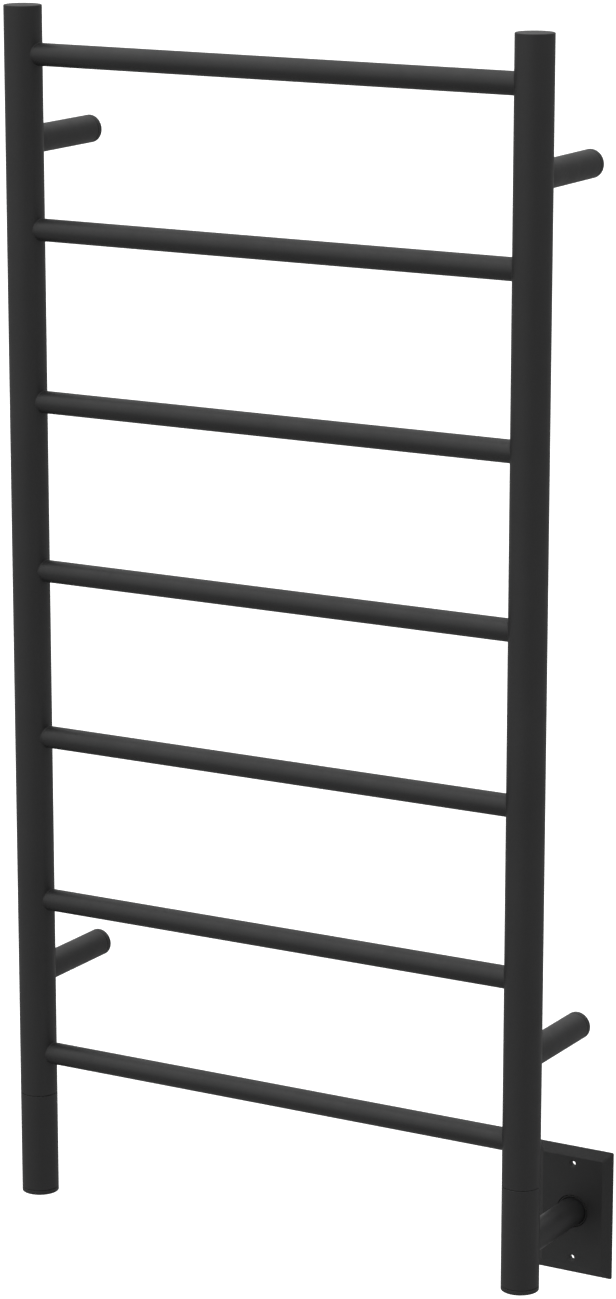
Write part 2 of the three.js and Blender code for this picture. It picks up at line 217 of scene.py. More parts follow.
RING_FLANGE = 1.4 * MM
RING_WALL = 1.5 * MM
RING_CORNER = 0.15 * MM
RING_FRONT_EDGE = 0.35 * MM
RING_LIP = (0.6, 0.54, 0.26, 0.2)  # shares of the length where the lip starts, stands, falls and ends
LIP_CLEARANCE = 0.01 * MM

PLATE_BEVEL = 8 * MM
PLATE_EDGE = 1 * MM
PLATE_CORNER = 1.5 * MM
PLATE_HOLE = 2.3 * MM
PLATE_SINK = 3.8 * MM
PLATE_HOLE_SPACING = 83.3 * MM
SINK_DEPTH = 0.9 * MM
CORNER_STEPS = 8
BEVEL_SOFTNESS = 0.5 * MM
EDGE_SOFTNESS = 0.3 * MM
BACK_SOFTNESS = 0.15 * MM

CABLE_RADIUS = 2.2 * MM
CABLE_BEND = 9 * MM
CABLE_BEND_STEPS = 10
CABLE_SIDES = 16

END_SEAL_PROFILE = [  # share of the radius, share of the length, rounding
    (0, 0, 0),
    (0.85, 0, 0.3 * MM),
    (0.85, 0.12, 0.2 * MM),
    (1, 0.2, 0.5 * MM),
    (1, 0.6, 1.5 * MM),
    (0.5, 1, 1.0 * MM),
    (0, 1, 0),
]

CONNECTOR_EDGE = 0.8 * MM
GROOVE_STARTS = (0.3, 0.6)  # shares of the connector's length
CONNECTOR_GROOVE = 0.8 * MM
CONNECTOR_GROOVE_WIDTH = 2 * MM
CONNECTOR_GROOVE_FLANK = 0.3 * MM
CONNECTOR_GROOVE_EDGE = 0.2 * MM

CUTOFF_NECK = 0.7  # share of the barrel's radius
CUTOFF_NECK_LENGTH = 3 * MM
CUTOFF_NECK_EDGE = 0.4 * MM
CUTOFF_EDGE = 0.5 * MM

STUD_PITCH = 0.7 * MM
STUD_THREAD_DEPTH = 0.3 * MM
STUD_PLAIN = 1.2 * MM
STUD_ROOT_EDGE = 0.2 * MM
STUD_PLAIN_EDGE = 0.1 * MM
STUD_THREAD_START = 1.6 * MM
STUD_THREAD_MARGIN = 0.4 * MM
STUD_CHAMFER = 0.3 * MM
NUT_CHAMFER = 0.35 * MM
NUT_FACE_INSET = 0.1 * MM


# ---- Meshes ----

def skin(name, rings, capped=False):
    """A closed surface through rings of points. A ring of one point is a pole. Without poles or caps
    the last ring joins the first."""
    bm = bmesh.new()
    rows = [[bm.verts.new(point) for point in ring] for ring in rings]
    pairs = list(zip(rows, rows[1:]))
    if capped:
        bm.faces.new(rows[0])
        bm.faces.new(rows[-1])
    elif len(rows[0]) > 1:
        pairs.append((rows[-1], rows[0]))
    for low, high in pairs:
        count = max(len(low), len(high))
        for i in range(count):
            j = (i + 1) % count
            corners = [low[i % len(low)], low[j % len(low)], high[j % len(high)], high[i % len(high)]]
            bm.faces.new(list(dict.fromkeys(corners)))
    bmesh.ops.recalc_face_normals(bm, faces=bm.faces)
    mesh = bpy.data.meshes.new(name)
    bm.to_mesh(mesh)
    bm.free()
    piece = bpy.data.objects.new(name, mesh)
    bpy.context.scene.collection.objects.link(piece)
    return piece


def rounded(corners):
    """Turns (radius, height, fillet) corners into profile points, each corner rounded by its fillet."""
    points = []
    for i, (radius, height, fillet) in enumerate(corners):
        here = Vector((radius, height))
        if fillet == 0:
            points.append(here)
            continue
        before = (Vector(corners[i - 1][:2]) - here).normalized()
        after = (Vector(corners[(i + 1) % len(corners)][:2]) - here).normalized()
        half_angle = before.angle(after) / 2
        centre = here + (before + after).normalized() * fillet / math.sin(half_angle)
        start = here + before * fillet / math.tan(half_angle) - centre
        end = here + after * fillet / math.tan(half_angle) - centre
        turn = start.angle_signed(end)
        for step in range(FILLET_STEPS + 1):
            arm = start.copy()
            arm.rotate(Matrix.Rotation(-turn * step / FILLET_STEPS, 2))
            points.append(centre + arm)
    return points


def circle(radius, segments):
    """Points (u, v) of a circle, or one point on the axis when the radius is 0."""
    if radius < POLE_RADIUS:
        return [(0, 0)]
    angles = [math.tau * i / segments for i in range(segments)]
    return [(radius * math.cos(angle), radius * math.sin(angle)) for angle in angles]


def hexagon(across_flats, segments):
    """Points (u, v) of a hexagon, as many as a circle's, so that the two can be joined."""
    points = []
    for i in range(segments):
        angle = math.tau * i / segments
        reach = across_flats / 2 / math.cos(angle % (math.pi / 3) - math.pi / 6)
        points.append((reach * math.cos(angle), reach * math.sin(angle)))
    return points


def flat_ring(radius, height, place, segments=ROUND_SEGMENTS):
    return [place @ Vector((u, v, height)) for u, v in circle(radius, segments)]


def hex_ring(flats, height, place, segments):
    return [place @ Vector((u, v, height)) for u, v in hexagon(flats, segments)]


def turned(name, corners, place, segments=ROUND_SEGMENTS):
    """A solid turned about its axis from (radius, height, fillet) corners."""
    return skin(name, [flat_ring(radius, height, place, segments) for radius, height in rounded(corners)])


def apply_modifiers(piece):
    graph = bpy.context.evaluated_depsgraph_get()
    mesh = bpy.data.meshes.new_from_object(piece.evaluated_get(graph))
    piece.modifiers.clear()
    piece.data = mesh


def cut(piece, cutters):
    for cutter in cutters:
        modifier = piece.modifiers.new("cut", "BOOLEAN")
        modifier.object = cutter
        modifier.operation = "DIFFERENCE"
        modifier.solver = "EXACT"
    apply_modifiers(piece)
    for cutter in cutters:
        bpy.data.objects.remove(cutter)


def smooth(piece):
    piece.data.shade_smooth()
    piece.data.set_sharp_from_angle(angle=math.radians(SHARP_ANGLE))
    modifier = piece.modifiers.new("normals", "WEIGHTED_NORMAL")
    modifier.keep_sharp = True
    apply_modifiers(piece)


# ---- Places in the frame ----

def middle(node):
    low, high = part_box(node)
    return (low + high) / 2


def extent(node):
    low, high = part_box(node)
    return high - low


def axis_frame(origin, direction):
    """Places (u, v, height) points so that height runs from origin along direction."""
    return Matrix.Translation(origin) @ direction.to_track_quat("Z", "Y").to_matrix().to_4x4()


def end_place(node, direction):
    """Starts in the middle of the end of the node that direction leads away from, and runs along it."""
    low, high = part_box(node)
    start = middle(node)
    for axis in range(3):
        if direction[axis] != 0:
            start[axis] = low[axis] if direction[axis] > 0 else high[axis]
    return axis_frame(start, direction)


POST_RADIUS = extent("left_post").x / 2
CAP_SPIGOT_RADIUS = POST_RADIUS - POST_WALL - PUSH_FIT
RING_BORE = extent("wiring_arm").z / 2 + PUSH_FIT


# ---- Materials ----

def set_stops(color_ramp, stops):
    """Gives a new ramp, which has two stops, these (position, colour) stops."""
    while len(color_ramp.elements) < len(stops):
        color_ramp.elements.new(MIDDLE_STOP)
    for element, (position, colour) in zip(color_ramp.elements, stops):
        element.position = position
        element.color = (*colour, 1)


class Nodes:
    """A short way to build one material's node tree."""

    def __init__(self, name):
        self.material = bpy.data.materials.new(name)
        self.material.use_nodes = True
        self.tree = self.material.node_tree
        self.shader = self.tree.nodes["Principled BSDF"]
        self.coordinates = self.tree.nodes.new("ShaderNodeTexCoord").outputs["Object"]

    def link(self, source, target):
        self.tree.links.new(source, target)

    def noise(self, scale, detail=3.0, roughness=0.55):
        node = self.tree.nodes.new("ShaderNodeTexNoise")
        node.inputs["Scale"].default_value = scale
        node.inputs["Detail"].default_value = detail
        node.inputs["Roughness"].default_value = roughness
        self.link(self.coordinates, node.inputs["Vector"])
        return node.outputs["Fac"]

    def ramp(self, value, low, high):
        """Spreads a noise over low to high."""
        node = self.tree.nodes.new("ShaderNodeMapRange")
        node.inputs["From Min"].default_value = NOISE_RANGE[0]
        node.inputs["From Max"].default_value = NOISE_RANGE[1]
        node.inputs["To Min"].default_value = low
        node.inputs["To Max"].default_value = high
        self.link(value, node.inputs["Value"])
        return node.outputs["Result"]

    def colours(self, value, stops):
        node = self.tree.nodes.new("ShaderNodeValToRGB")
        set_stops(node.color_ramp, stops)
        self.link(value, node.inputs["Fac"])
        return node.outputs["Color"]

    def bump(self, height, distance, strength, under=None):
        node = self.tree.nodes.new("ShaderNodeBump")
        node.inputs["Strength"].default_value = strength
        node.inputs["Distance"].default_value = distance
        self.link(height, node.inputs["Height"])
        if under is not None:
            self.link(under, node.inputs["Normal"])
        return node.outputs["Normal"]

    def add(self, first, second):
        node = self.tree.nodes.new("ShaderNodeMath")
        node.operation = "ADD"
        self.link(first, node.inputs[0])
        self.link(second, node.inputs[1])
        return node.outputs["Value"]


def grey(level):
    return (level, level, level * GREY_BLUE)


def powder_coat(name, level, base_roughness, sheen):
    """Matte black powder coat: orange peel, a fine grain and faint handling marks."""
    made = Nodes(name)
    cloud = made.noise(CLOUD_SCALE, detail=4)
    grain = made.noise(GRAIN_SCALE, detail=2)
    peel = made.noise(PEEL_SCALE, detail=2, roughness=PEEL_SOFTNESS)
    marks = made.noise(MARKS_SCALE, detail=6, roughness=MARKS_HARDNESS)
    body = made.add(made.ramp(cloud, *CLOUD_TONE), made.ramp(grain, *GRAIN_TONE))
    stops = [(position, grey(level * share)) for position, share in COAT_TONES]
    made.link(made.colours(body, stops), made.shader.inputs["Base Color"])
    fine = made.ramp(grain, base_roughness - GRAIN_ROUGHNESS, base_roughness + GRAIN_ROUGHNESS)
    rough = made.add(made.ramp(marks, *MARKS_ROUGHNESS), fine)
    made.shader.inputs["Specular IOR Level"].default_value = sheen
    made.link(rough, made.shader.inputs["Roughness"])
    normal = made.bump(peel, PEEL_DEPTH, COAT_BUMP)
    normal = made.bump(grain, GRAIN_DEPTH, COAT_BUMP, under=normal)
    made.link(normal, made.shader.inputs["Normal"])
    return made.material


def uncoated(name, kind, colour, base_roughness):
    """Machined metal with tool marks and dull patches, or a moulded polymer, rubber or ceramic with a
    faint texture and uneven tone."""
    made = Nodes(name)
    scale, detail = kind["marks"]
    marks = made.noise(scale, detail=detail)
    scale, detail = kind["patches"]
    patches = made.noise(scale, detail=detail)
    dark = tuple(channel * kind["dark"] for channel in colour)
    stops = list(zip(PATCH_STOPS, (dark, colour)))
    made.link(made.colours(patches, stops), made.shader.inputs["Base Color"])
    smoother, rougher = kind["roughness"]
    rough = made.ramp(patches, base_roughness + smoother, base_roughness + rougher)
    made.link(rough, made.shader.inputs["Roughness"])
    made.shader.inputs["Metallic"].default_value = kind["metallic"]
    normal = made.bump(marks, kind["depth"], kind["strength"])
    made.link(normal, made.shader.inputs["Normal"])
    return made.material


MATERIALS = {
    # The tubes and the plate wear one powder coat. The plate's copy is set darker than the tubes' to stand
    # in for the different light on them, which is painted shade.
    "coated_tube": powder_coat("powder_coat_tube", 0.016, 0.46, 0.5),
    "coated_plate": powder_coat("powder_coat_plate_painted_shade", 0.0115, 0.5, 0.6),
    "black_screw": uncoated("black_oxide_steel", METAL, (0.035, 0.036, 0.04), 0.42),
    "bare_steel": uncoated("drawn_stainless", METAL, (0.56, 0.55, 0.53), 0.34),
    "black_polymer": uncoated("black_nylon", MOULDED, (0.012, 0.012, 0.012), 0.62),
    "cable_silicone": uncoated("silicone_sheath", MOULDED, (0.19, 0.035, 0.02), 0.6),
    "earth_brass": uncoated("machined_brass", METAL, (0.72, 0.5, 0.2), 0.33),
    "ceramic": uncoated("unglazed_ceramic", MOULDED, (0.66, 0.62, 0.53), 0.75),
}


def finish_piece(piece, node, slot, body="rack"):
    """The piece stands for one CAD node, in that slot's finish, and moves with its body."""
    smooth(piece)
    piece.data.materials.clear()
    piece.data.materials.append(MATERIALS[slot])
    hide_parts(node)
    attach(piece, body)


# ---- Camera, floor and light ----

def add_camera():
    data = bpy.data.cameras.new("camera")
    data.lens = CAMERA_LENS
    data.shift_y = CAMERA_SHIFT_Y
    camera = bpy.data.objects.new("camera", data)
    azimuth = math.radians(CAMERA_AZIMUTH)
    elevation = math.radians(CAMERA_ELEVATION)
    back = Vector((
        math.sin(azimuth) * math.cos(elevation),
        -math.cos(azimuth) * math.cos(elevation),
        math.sin(elevation),
    ))
    camera.location = CAMERA_TARGET + back * CAMERA_DISTANCE
    camera.rotation_euler = (math.pi / 2 - elevation, 0, azimuth)
    bpy.context.scene.collection.objects.link(camera)
    bpy.context.scene.camera = camera


def glowing(name, colour, shine, glow, noise_scale, roughness):
    """A surface that gives off an even white light of its own."""
    made = Nodes(name)
    made.link(made.ramp(made.noise(noise_scale), *roughness), made.shader.inputs["Roughness"])
    made.shader.inputs["Base Color"].default_value = colour
    made.shader.inputs["Specular IOR Level"].default_value = shine
    made.shader.inputs["Emission Color"].default_value = WHITE
    made.shader.inputs["Emission Strength"].default_value = glow
    return made.material


def add_floor():
    bpy.ops.mesh.primitive_plane_add(size=FLOOR_SIDE)
    floor = bpy.context.object
    floor.name = "floor"
    floor.location.z = CAD_BOX[0][2] - FLOOR_DROP
    finish = glowing("pale_floor", FLOOR_COLOUR, FLOOR_SHINE, FLOOR_GLOW, FLOOR_NOISE, FLOOR_ROUGHNESS)
    floor.data.materials.append(finish)
    floor.visible_diffuse = False
    floor.visible_glossy = False


def add_backdrop():
    """A white dome that only the camera sees, so that the ground meets no horizon."""
    bpy.ops.mesh.primitive_uv_sphere_add(
        segments=BACKDROP_SEGMENTS,
        ring_count=BACKDROP_RINGS,
        radius=BACKDROP_RADIUS,
    )
    dome = bpy.context.object
    dome.name = "backdrop"
    finish = glowing("white_backdrop", BLACK, 0, BACKDROP_GLOW, BACKDROP_NOISE, BACKDROP_ROUGHNESS)
    dome.data.materials.append(finish)
    dome.visible_diffuse = False
    dome.visible_glossy = False
    dome.visible_transmission = False
    dome.visible_shadow = False


def add_world():
    """A soft studio: an even surround that is pale overhead, with broad soft panels in some directions."""
    world = bpy.data.worlds.new("studio")
    bpy.context.scene.world = world
    world.use_nodes = True
    tree = world.node_tree
    direction = tree.nodes.new("ShaderNodeTexCoord").outputs["Generated"]
    split = tree.nodes.new("ShaderNodeSeparateXYZ")
    tree.links.new(direction, split.inputs[0])
    height = tree.nodes.new("ShaderNodeMapRange")
    height.inputs["From Min"].default_value = -1
    tree.links.new(split.outputs["Z"], height.inputs["Value"])
    ramp = tree.nodes.new("ShaderNodeValToRGB")
    tree.links.new(height.outputs["Result"], ramp.inputs["Fac"])
    set_stops(ramp.color_ramp, [((sine + 1) / 2, (level, level, level)) for sine, level in SURROUND])
    total = ramp.outputs["Color"]
    for towards, level in PANELS:
        total = add_panel(tree, direction, Vector(towards).normalized(), level, total)
    tree.nodes["Background"].inputs["Color"].default_value = WHITE
    tree.links.new(total, tree.nodes["Background"].inputs["Strength"])


def add_panel(tree, direction, towards, level, before):
    """Adds to the light so far a panel that fades out towards its edge."""
    facing = tree.nodes.new("ShaderNodeVectorMath")
    facing.operation = "DOT_PRODUCT"
    facing.inputs[1].default_value = towards
    tree.links.new(direction, facing.inputs[0])
    fade = tree.nodes.new("ShaderNodeMapRange")
    fade.interpolation_type = "SMOOTHSTEP"
    fade.inputs["From Min"].default_value = PANEL_EDGE
    fade.inputs["From Max"].default_value = PANEL_CORE
    fade.inputs["To Max"].default_value = level
    tree.links.new(facing.outputs["Value"], fade.inputs["Value"])
    both = tree.nodes.new("ShaderNodeMath")
    tree.links.new(before, both.inputs[0])
    tree.links.new(fade.outputs["Result"], both.inputs[1])
    return both.outputs["Value"]


# ---- Posts ----

def post_place(side, height=0):
    """Starts on the post's axis at that height and runs up."""
    centre = middle(f"{side}_post")
    return axis_frame(Vector((centre.x, centre.y, height)), UP)


def post_tube_corners(low, high, low_edge, high_edge):
    bore = POST_RADIUS - POST_WALL
    return [
        (bore, low, 0),
        (POST_RADIUS, low, low_edge),
        (POST_RADIUS, high, high_edge),
        (bore, high, 0),
    ]


def hole_cutter(radius, place, segments):
    """A rod from a post's axis out through its wall."""
    reach = POST_RADIUS * 2
    corners = [(0, 0, 0), (radius, 0, 0), (radius, reach, 0), (0, reach, 0)]
    return turned("cutter", corners, place, segments)


def rail_hole_cutter(rail, side):
    centre = middle(rail)
    radius = extent(rail).z / 2 + RAIL_CLEARANCE
    start = Vector((middle(f"{side}_post").x, centre.y, centre.z))
    inward = TO_LEFT if side == "right" else TO_RIGHT
    return hole_cutter(radius, axis_frame(start, inward), ROUND_SEGMENTS)


def make_post(side):
    node = f"{side}_post"
    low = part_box(node)[0].z
    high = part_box(f"{side}_top_cap")[1].z - TOP_CAP_THICKNESS - HAIRLINE
    corners = post_tube_corners(low, high, SEAM_EDGE, 0)
    piece = turned(f"{side}_post_tube", corners, post_place(side))
    cut(piece, [rail_hole_cutter(rail, side) for rail in RAILS])
    finish_piece(piece, node, "coated_tube")


def make_lower_sleeve(side):
    node = f"{side}_lower_sleeve"
    low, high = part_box(node)
    corners = post_tube_corners(low.z, high.z, SEAM_EDGE, SEAM_EDGE)
    piece = turned(f"{side}_sleeve_tube", corners, post_place(side))
    if side == "right":
        arm = middle("wiring_arm")
        place = axis_frame(Vector((arm.x, middle(node).y, arm.z)), TO_WALL)
        cut(piece, [hole_cutter(WIRE_HOLE_RADIUS, place, FINE_SEGMENTS)])
    finish_piece(piece, node, "coated_tube")


def make_coupler(side):
    node = f"{side}_sleeve_coupler"
    low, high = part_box(node)
    radius = extent(node).y / 2
    corners = [
        (radius - SPIGOT_WALL, low.z, HIDDEN_EDGE),
        (radius, low.z, COUPLER_EDGE),
        (radius, high.z, COUPLER_EDGE),
        (radius - SPIGOT_WALL, high.z, HIDDEN_EDGE),
    ]
    finish_piece(turned(f"{side}_coupler_tube", corners, post_place(side)), node, "bare_steel")


def cap_corners(seat, edge, seat_edge):
    """The outer face is at height 0 and looks along +height. The seat rests on the tube's end."""
    bore = CAP_SPIGOT_RADIUS - SPIGOT_WALL
    return [
        (0, seat, 0),
        (bore, seat, 0),
        (bore, seat - CAP_SPIGOT, HIDDEN_EDGE),
        (CAP_SPIGOT_RADIUS, seat - CAP_SPIGOT, SPIGOT_EDGE),
        (CAP_SPIGOT_RADIUS, seat, 0),
        (POST_RADIUS, seat, seat_edge),
        (POST_RADIUS, 0, edge),
        (0, 0, 0),
    ]


def make_caps(side):
    place = post_place(side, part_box(f"{side}_top_cap")[1].z)
    corners = cap_corners(-TOP_CAP_THICKNESS, TOP_EDGE, 0)
    finish_piece(turned(f"{side}_top_cap_disc", corners, place), f"{side}_top_cap", "coated_tube")

    centre = middle(f"{side}_post")
    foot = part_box(f"{side}_bottom_cap")[0].z
    place = axis_frame(Vector((centre.x, centre.y, foot)), DOWN)
    corners = cap_corners(FOOT_JOINT - BOTTOM_CAP_THICKNESS, FOOT_EDGE, SEAM_EDGE)
    finish_piece(turned(f"{side}_foot_cap", corners, place), f"{side}_bottom_cap", "coated_tube")


# ---- Tubes welded onto a post ----

def saddle_ring(radius, away, place):
    """A ring of a tube that ends on a post: away is its distance from the post's surface.
    The tube runs along the place's height axis, which starts on the post's axis and is square to it."""
    turn = place.to_3x3()
    across = (turn @ UP).cross(UP)
    points = []
    for u, v in circle(radius, ROUND_SEGMENTS):
        offset = (turn @ Vector((u, v, 0))).dot(across)
        height = math.sqrt(POST_RADIUS**2 - offset**2) + away
        points.append(place @ Vector((u, v, height)))
    return points


def weld_rings(radius, weld, place):
    """From inside the post's wall, out over the weld's fillet, to the clean tube."""
    rings = [
        saddle_ring(radius, -WELD_SUNK, place),
        saddle_ring(radius + weld, -WELD_SUNK / 2, place),
    ]
    for step in range(WELD_STEPS + 1):
        angle = math.pi / 2 * (1 - step / WELD_STEPS)
        ring_radius = radius + weld * (1 - math.cos(angle))
        away = weld * (1 - math.sin(angle))
        rings.append(saddle_ring(ring_radius, away, place))
    return rings


def rail_end_rings(radius, end, place):
    """From the bore's end inside the post, out over the weld."""
    rings = [flat_ring(radius - RAIL_WALL, end, place), flat_ring(radius, end, place)]
    return rings + weld_rings(radius, RAIL_WELD, place)


def match(ring, place):
    """Puts a ring's points in the order that place's own rings have."""
    inverse = place.inverted()
    numbered = {}
    for point in ring:
        local = inverse @ point
        turns = math.atan2(local.y, local.x) / math.tau
        numbered[round(turns * ROUND_SEGMENTS) % ROUND_SEGMENTS] = point
    return [numbered[number] for number in sorted(numbered)]


def make_rail(node):
    centre = middle(node)
    radius = extent(node).z / 2
    end = middle("right_post").x - centre.x - extent(node).x / 2
    left = axis_frame(Vector((middle("left_post").x, centre.y, centre.z)), TO_RIGHT)
    right = axis_frame(Vector((middle("right_post").x, centre.y, centre.z)), TO_LEFT)
    rings = rail_end_rings(radius, end, left)
    rings += [match(ring, left) for ring in reversed(rail_end_rings(radius, end, right))]
    finish_piece(skin(node + "_tube", rings), node, "coated_tube")


def rounded_tube_end(radius, bore, end):
    """Profile points round a tube's cut end, from outside to inside."""
    corners = [(radius, 0, 0), (radius, end, SEAM_EDGE), (bore, end, TUBE_EDGE), (bore, 0, 0)]
    return rounded(corners)[1:-1]


def wall_tube(name, node, wall):
    """A tube from its weld on the back of a post towards the wall."""
    centre = middle(node)
    axis_y = middle("right_post").y
    radius = extent(node).z / 2
    bore = radius - wall
    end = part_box(node)[1].y - axis_y
    place = axis_frame(Vector((centre.x, axis_y, centre.z)), TO_WALL)
    rings = weld_rings(radius, STANDOFF_WELD, place)
    rings += [flat_ring(reach, height, place) for reach, height in rounded_tube_end(radius, bore, end)]
    rings.append(saddle_ring(bore, -WELD_SUNK, place))
    return skin(name, rings)


def make_standoff(corner):
    node = f"standoff_{corner}"
    piece = wall_tube(node + "_tube", node, STANDOFF_WALL)
    screw = middle(f"set_screw_{corner}")
    down = axis_frame(Vector((screw.x, screw.y, middle(node).z)), DOWN)
    radius = extent(node).z / 2
    edge = SET_SCREW_HOLE_EDGE
    hole = [
        (0, 0, 0),
        (SET_SCREW_HOLE, 0, 0),
        (SET_SCREW_HOLE, radius - edge, 0),
        (SET_SCREW_HOLE + 2 * edge, radius + edge, 0),
        (0, radius + edge, 0),
    ]
    cut(piece, [turned("cutter", hole, down, FINE_SEGMENTS)])
    finish_piece(piece, node, "coated_tube")


def make_wall_anchor(corner):
    node = f"wall_anchor_{corner}"
    low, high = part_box(node)
    radius = extent(node).z / 2
    spigot = radius - STANDOFF_WALL - PUSH_FIT
    length = high.y - low.y
    groove = high.y - middle(f"set_screw_{corner}").y
    half = GROOVE_WIDTH / 2
    sink = WALL_SCREW_HEAD - WALL_SCREW_HOLE
    corners = [
        (WALL_SCREW_HOLE, 0, HIDDEN_EDGE),
        (radius, 0, ANCHOR_EDGE),
        (radius, ANCHOR_FLANGE, SEAM_EDGE),
        (spigot, ANCHOR_FLANGE, 0),
        (spigot, groove - half, GROOVE_EDGE),
        (spigot - GROOVE_DEPTH, groove - half + GROOVE_FLANK, HIDDEN_EDGE),
        (spigot - GROOVE_DEPTH, groove + half - GROOVE_FLANK, HIDDEN_EDGE),
        (spigot, groove + half, GROOVE_EDGE),
        (spigot, length, ANCHOR_END_EDGE),
        (WALL_SCREW_HEAD, length, 0),
        (WALL_SCREW_HOLE, length - sink, 0),
    ]
    finish_piece(turned(node + "_turned", corners, end_place(node, FROM_WALL)), node, "coated_tube")


def make_set_screw(corner):
    """A grub screw with its thread and hex socket."""
    node = f"set_screw_{corner}"
    low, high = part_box(node)
    place = end_place(node, UP)
    length = high.z - low.z
    segments = FINE_SEGMENTS
    cone = SET_SCREW_RADIUS - SET_SCREW_TIP
    root = SET_SCREW_RADIUS - THREAD_DEPTH
    rings = [
        flat_ring(0, HEX_DEPTH, place, segments),
        hex_ring(HEX_KEY, HEX_DEPTH, place, segments),
        hex_ring(HEX_KEY, 0, place, segments),
        flat_ring(root, 0, place, segments),
    ]
    height = THREAD_PITCH / 2
    while height + THREAD_PITCH / 2 < length - cone:
        rings.append(flat_ring(SET_SCREW_RADIUS, height, place, segments))
        rings.append(flat_ring(root, height + THREAD_PITCH / 2, place, segments))
        height += THREAD_PITCH
    rings.append(flat_ring(SET_SCREW_TIP, length, place, segments))
    rings.append(flat_ring(0, length, place, segments))
    finish_piece(skin(node + "_grub", rings), node, "black_screw")


# ---- Wiring arm and cover plate ----

def make_arm():
    finish_piece(wall_tube("wiring_arm_tube", "wiring_arm", ARM_WALL), "wiring_arm", "coated_tube")


def make_arm_bushing():
    """A flanged grommet in the arm's wall end, with a lead-in for the wires."""
    node = "arm_bushing"
    low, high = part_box(node)
    flange = extent(node).z / 2
    outer = extent("wiring_arm").z / 2 - ARM_WALL - PUSH_FIT
    bore = outer - BUSHING_WALL
    length = high.y - low.y
    corners = [
        (bore, 0, BUSHING_MOUTH),
        (flange, 0, BUSHING_FACE_EDGE),
        (flange, BUSHING_FLANGE, BUSHING_BACK_EDGE),
        (outer, BUSHING_FLANGE, 0),
        (outer + BUSHING_RIB, length - BUSHING_TAPER_LENGTH, BUSHING_RIB_EDGE),
        (outer - BUSHING_TAPER, length, HIDDEN_EDGE),
        (bore, length, BUSHING_END_EDGE),
    ]
    finish_piece(turned("arm_grommet", corners, end_place(node, FROM_WALL)), node, "black_polymer")


def make_plate_ring():
    """The nylon ring that slides on the arm: a wiper lip in its bore, and its flange behind the plate."""
    node = "plate_bush"
    low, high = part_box(node)
    lip = RING_BORE - PUSH_FIT + LIP_CLEARANCE
    outer = RING_BORE + RING_WALL
    flange = extent(node).z / 2
    front = high.y - low.y
    lip_starts, lip_stands, lip_falls, lip_ends = [front * share for share in RING_LIP]
    corners = [
        (RING_BORE, 0, HIDDEN_EDGE),
        (flange, 0, HIDDEN_EDGE),
        (flange, RING_FLANGE, HIDDEN_EDGE),
        (outer, RING_FLANGE, RING_CORNER),
        (outer, front, RING_FRONT_EDGE),
        (RING_BORE, front, RING_FRONT_EDGE),
        (RING_BORE, lip_starts, 0),
        (lip, lip_stands, 0),
        (lip, lip_falls, 0),
        (RING_BORE, lip_ends, 0),
    ]
    piece = turned("plate_ring_turned", corners, end_place(node, FROM_WALL))
    finish_piece(piece, node, "black_polymer", "plate_ring")


def plate_outline(centre, width, height, inset, y):
    """A rectangle with rounded corners, its sides drawn in by inset."""
    points = []
    for sign_x, sign_z, quarter in ((1, 1, 0), (-1, 1, 1), (-1, -1, 2), (1, -1, 3)):
        for step in range(CORNER_STEPS + 1):
            angle = (quarter + step / CORNER_STEPS) * math.pi / 2
            x = centre.x + sign_x * (width / 2 - inset - PLATE_CORNER) + PLATE_CORNER * math.cos(angle)
            z = centre.z + sign_z * (height / 2 - inset - PLATE_CORNER) + PLATE_CORNER * math.sin(angle)
            points.append(Vector((x, y, z)))
    return points


def from_front(centre, front, rise):
    """Runs from the plate's front towards the wall, rise above the plate's middle."""
    return axis_frame(Vector((centre.x, front, centre.z + rise)), TO_WALL)


def make_plate():
    node = "cover_plate"
    low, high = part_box(node)
    centre = middle(node)
    size = extent(node)
    thickness = size.y
    profile = rounded([  # (inset, depth, fillet), from the back to the front
        (size.x / 2, 0, 0),
        (0, 0, BACK_SOFTNESS),
        (0, PLATE_EDGE, EDGE_SOFTNESS),
        (PLATE_BEVEL, thickness, BEVEL_SOFTNESS),
        (size.x / 2, thickness, 0),
    ])
    rings = []
    for inset, depth in profile[1:-1]:
        rings.append(plate_outline(centre, size.x, size.z, inset, high.y - depth))
    piece = skin("cover_plate_body", rings, capped=True)

    bore = RING_BORE + RING_WALL + PUSH_FIT
    seat = extent("plate_bush").z / 2 + PUSH_FIT
    seat_depth = thickness - RING_FLANGE - 2 * PUSH_FIT
    edge = EDGE_SOFTNESS
    beyond = thickness * 2
    arm_hole = [
        (0, -edge, 0),
        (bore + 2 * edge, -edge, 0),
        (bore, edge, 0),
        (bore, seat_depth, 0),
        (seat, seat_depth, 0),
        (seat, beyond, 0),
        (0, beyond, 0),
    ]
    cutters = [turned("cutter", arm_hole, from_front(centre, low.y, 0))]
    slope = PLATE_SINK - PLATE_HOLE
    screw_hole = [
        (0, -SINK_DEPTH, 0),
        (PLATE_SINK + slope, -SINK_DEPTH, 0),
        (PLATE_HOLE, SINK_DEPTH, 0),
        (PLATE_HOLE, beyond, 0),
        (0, beyond, 0),
    ]
    for sign in (-1, 1):
        place = from_front(centre, low.y, sign * PLATE_HOLE_SPACING / 2)
        cutters.append(turned("cutter", screw_hole, place, FINE_SEGMENTS))
    cut(piece, cutters)
    finish_piece(piece, node, "coated_plate", "plate")


# ---- Electrical parts inside ----

def cable_corners():
    """From the right sleeve up, through every rail in turn, to the cable's far end."""
    low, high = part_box("heating_cable")
    left, right = middle("left_post").x, middle("right_post").x
    y = middle("left_post").y
    x = right
    corners = [Vector((x, y, low.z))]
    for rail in reversed(RAILS):
        height = middle(rail).z
        corners.append(Vector((x, y, height)))
        x = left + right - x
        corners.append(Vector((x, y, height)))
    corners.append(Vector((x, y, high.z)))
    return corners


